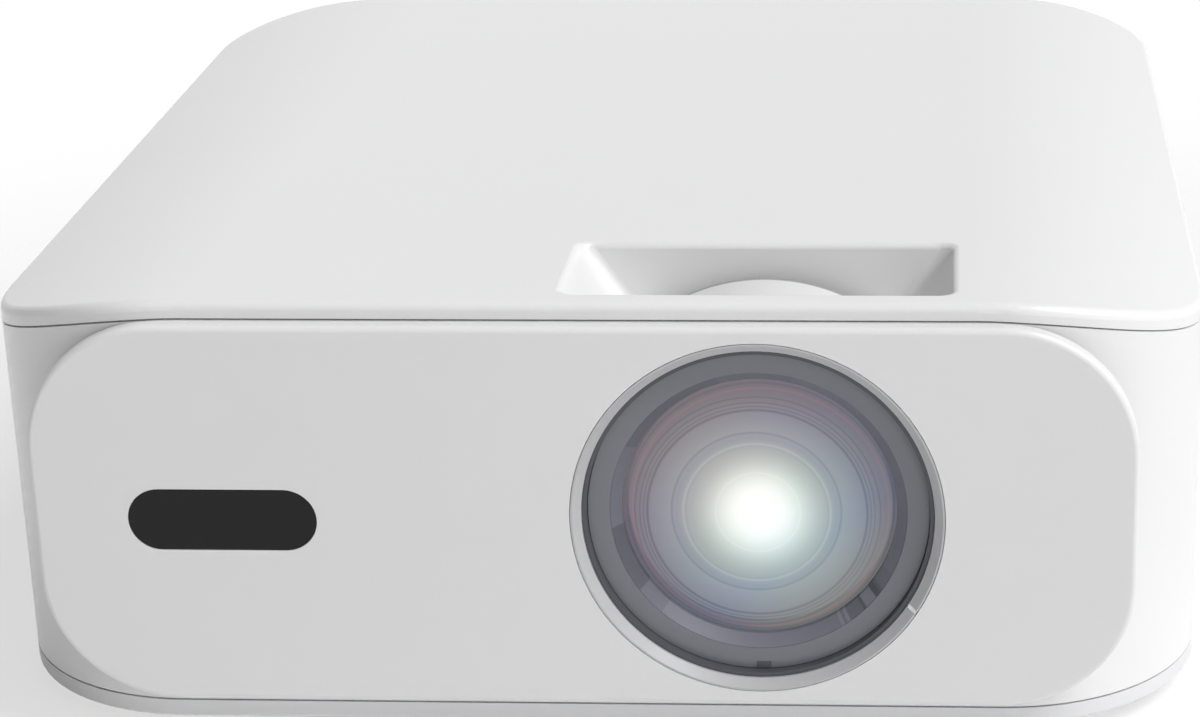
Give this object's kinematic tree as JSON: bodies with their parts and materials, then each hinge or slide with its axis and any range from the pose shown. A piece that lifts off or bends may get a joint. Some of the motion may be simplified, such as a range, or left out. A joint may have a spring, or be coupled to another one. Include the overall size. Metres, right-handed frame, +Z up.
{
  "type": "projector with disc player",
  "caption": "Tabletop projector, white rounded box, focus ring in a top well, large front lens, disc tray in the left side, folded light engine and vent grilles.",
  "frame": {"origin": "on the surface that the rubber feet stand on, under the centre of the whole outline", "axes": "+Z up; -Y is the way the lens faces; +X is the viewer's right when the front is seen"},
  "size_m": [0.26, 0.2776, 0.098],
  "materials": {
    "shell_white": "fine satin white",
    "panel_grey": "fine satin light grey",
    "base_grey": "satin grey",
    "bezel_silver": "smooth silver grey",
    "black_plastic": "black satin",
    "dark_grey": "dark grey satin",
    "window_black": "gloss black, passes infrared",
    "optical_glass": "coated clear",
    "mirror_glass": "front-coated",
    "lcd_glass": "dark polariser",
    "aluminium": "extruded, plain",
    "brass": "turned",
    "steel": "bright",
    "chrome": "polished",
    "rubber": "soft black",
    "board_green": "solder mask",
    "drive_grey": "moulded grey",
    "gear_white": "acetal",
    "tray_black": "fine texture"
  },
  "bodies": {
    "housing": {"middle_housing": "shell_white", "top_cover": "shell_white", "bottom_cover": "base_grey", "front_panel": "panel_grey", "rear_panel": "dark_grey", "exhaust_grille": "shell_white", "intake_grille": "shell_white", "tripod_bush": "brass", "bracket_inserts": "brass", "rubber_feet": "rubber", "foot_nut": "brass", "ir_window": "window_black", "ir_board": "board_green", "lens_bezel": "bezel_silver", "lens_mount": "black_plastic", "engine_housing": "black_plastic", "engine_lid": "black_plastic", "fold_mirror": "mirror_glass", "front_fresnel": "optical_glass", "rear_fresnel": "optical_glass", "lcd_panel": "lcd_glass", "condenser_lens": "optical_glass", "led_board": "aluminium", "heatsink": "aluminium", "exhaust_fan_frame": "black_plastic", "loader_chassis": "drive_grey", "loading_motor": "steel", "drive_belt": "rubber", "clamp_bridge": "steel", "key_switches": "black_plastic", "main_board": "board_green", "power_board": "board_green", "hdmi_sockets": "steel", "usb_sockets": "steel", "audio_jacks": "black_plastic", "power_inlet": "black_plastic", "speakers": "black_plastic"},
    "focus_ring": {"focus_ring": "shell_white"},
    "lens_cell": {"lens_barrel": "dark_grey", "lens_retainer": "black_plastic", "front_lens": "optical_glass", "rear_lens": "optical_glass"},
    "impeller": {"exhaust_impeller": "black_plastic"},
    "tray": {"disc_tray": "tray_black", "tray_door": "shell_white"},
    "drive_gear": {"drive_gear": "gear_white"},
    "pulley_gear": {"pulley_gear": "gear_white"},
    "motor_pulley": {"motor_pulley": "brass"},
    "traverse": {"traverse_frame": "drive_grey", "guide_rods": "chrome", "spindle_motor": "steel", "feed_motor": "steel"},
    "turntable": {"turntable": "black_plastic"},
    "sled": {"pickup_sled": "dark_grey"},
    "feed_gear": {"feed_gear": "gear_white"},
    "clamp_puck": {"clamp_puck": "black_plastic"},
    "eject_button": {"eject_button": "shell_white"},
    "power_button": {"power_button": "shell_white"},
    "foot_pad": {"foot_pad": "rubber"},
    "foot_screw": {"foot_screw": "dark_grey"}
  },
  "joints": [
    {"name": "focus_turn", "type": "hinge", "parent": "housing", "child": "focus_ring", "pos_m": [0.0364, -0.1094, 0.0519], "axis": [0, -1, 0], "range_deg": [-45, 45]},
    {"name": "lens_slide", "type": "slide", "parent": "housing", "child": "lens_cell", "axis": [0, -1, 0], "range_m": [-0.003, 0.003]},
    {"name": "fan_spin", "type": "hinge", "parent": "housing", "child": "impeller", "pos_m": [-0.1095, -0.0602, 0.0519], "axis": [1, 0, 0], "continuous": true},
    {"name": "tray_slide", "type": "slide", "parent": "housing", "child": "tray", "axis": [-1, 0, 0], "range_m": [0, 0.128]},
    {"name": "drive_turn", "type": "hinge", "parent": "housing", "child": "drive_gear", "pos_m": [-0.104, -0.00702, 0.056], "axis": [0, 0, 1], "range_deg": [-874, 0]},
    {"name": "pulley_turn", "type": "hinge", "parent": "housing", "child": "pulley_gear", "pos_m": [-0.084, -0.00702, 0.058], "axis": [0, 0, 1], "range_deg": [0, 2246]},
    {"name": "motor_turn", "type": "hinge", "parent": "housing", "child": "motor_pulley", "pos_m": [-0.05, -0.00702, 0.0603], "axis": [0, 0, 1], "range_deg": [0, 8638]},
    {"name": "traverse_lift", "type": "hinge", "parent": "housing", "child": "traverse", "pos_m": [0.026, 0.0403, 0.054], "axis": [0, 1, 0], "range_deg": [0, 4]},
    {"name": "turntable_spin", "type": "hinge", "parent": "traverse", "child": "turntable", "pos_m": [-0.06241, 0.0403, 0.05684], "axis": [-0.0698, 0, 0.9976], "continuous": true},
    {"name": "sled_slide", "type": "slide", "parent": "traverse", "child": "sled", "axis": [0.9976, 0, 0.0698], "range_m": [0, 0.035]},
    {"name": "feed_turn", "type": "hinge", "parent": "traverse", "child": "feed_gear", "pos_m": [-0.00939, 0.07627, 0.05834], "axis": [-0.0698, 0, 0.9976], "range_deg": [0, 334.3]},
    {"name": "clamp_spin", "type": "hinge", "parent": "housing", "child": "clamp_puck", "pos_m": [-0.062, 0.0403, 0.0775], "axis": [0, 0, 1], "continuous": true},
    {"name": "eject_press", "type": "slide", "parent": "housing", "child": "eject_button", "axis": [1, 0, 0], "range_m": [0, 0.0008], "stiffness_N_per_m": 600},
    {"name": "power_press", "type": "slide", "parent": "housing", "child": "power_button", "axis": [0, -1, 0], "range_m": [0, 0.0008], "stiffness_N_per_m": 600},
    {"name": "foot_turn", "type": "hinge", "parent": "foot_pad", "child": "foot_screw", "pos_m": [0, -0.1092, 0.006], "axis": [0, 0, -1], "range_deg": [0, 2880]},
    {"name": "foot_lift", "type": "slide", "parent": "housing", "child": "foot_pad", "axis": [0, 0, -1], "range_m": [0, 0.01]}
  ],
  "couplings": [
    {"joint": "lens_slide", "follows": "focus_turn", "m_per_rad": 0.0038197},
    {"joint": "drive_turn", "follows": "tray_slide", "rad_per_m": -119.05},
    {"joint": "pulley_turn", "follows": "tray_slide", "rad_per_m": 306.12},
    {"joint": "motor_turn", "follows": "tray_slide", "rad_per_m": 1177.8},
    {"joint": "feed_turn", "follows": "sled_slide", "rad_per_m": 166.67},
    {"joint": "foot_lift", "follows": "foot_turn", "m_per_rad": 0.00019894}
  ]
}
